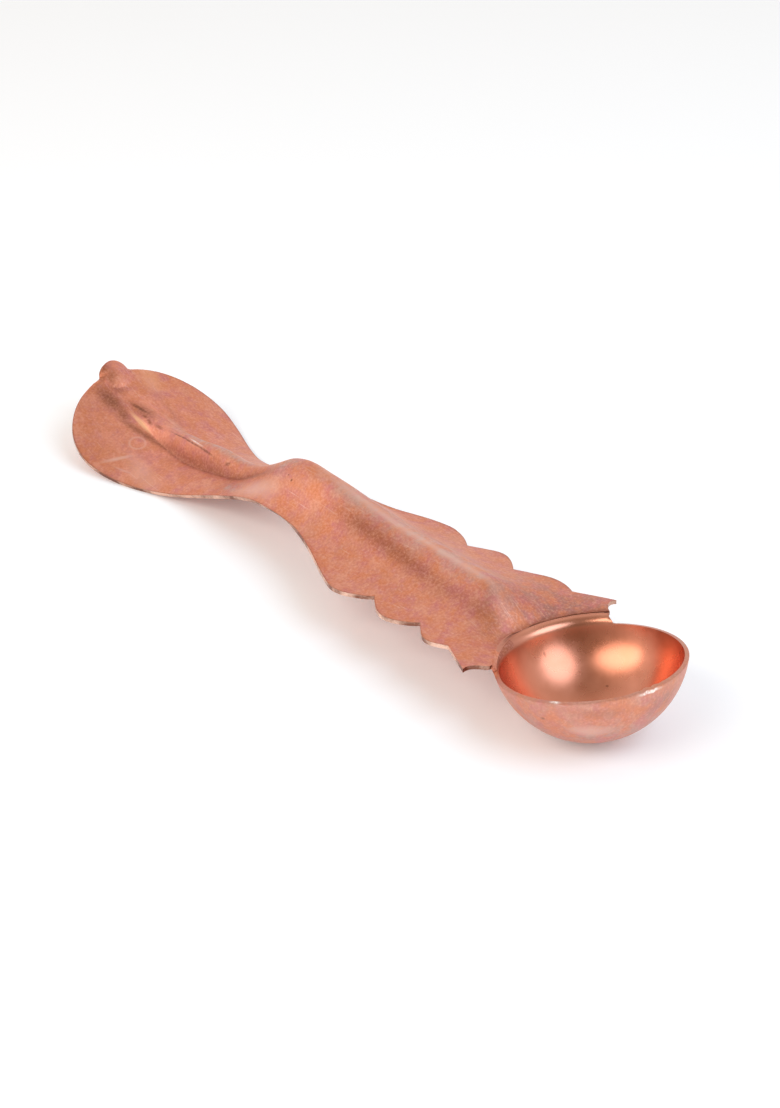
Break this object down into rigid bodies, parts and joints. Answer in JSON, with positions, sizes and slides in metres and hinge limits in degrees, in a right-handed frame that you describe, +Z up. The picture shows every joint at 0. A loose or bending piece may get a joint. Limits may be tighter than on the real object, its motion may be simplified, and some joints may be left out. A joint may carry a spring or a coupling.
{
  "type": "ritual water spoon",
  "caption": "Copper ritual water spoon with a round bowl, a ridged scalloped handle and a hood-shaped end, for scooping and sipping holy water from a panchpatra cup.",
  "frame": {"origin": "centre of the part's length and width, on the table it lies on", "axes": "+X along the handle towards the front of the bowl, +Y across to the spoon's left, +Z up from the table"},
  "size_m": [0.1508, 0.0326, 0.0167],
  "materials": {
    "bowl_copper": null,
    "handle_copper": null,
    "braze": "thin oxidised braze line"
  },
  "bodies": {
    "root": {"bowl": "bowl_copper", "handle": "handle_copper", "braze_seam": "braze"}
  },
  "joints": []
}
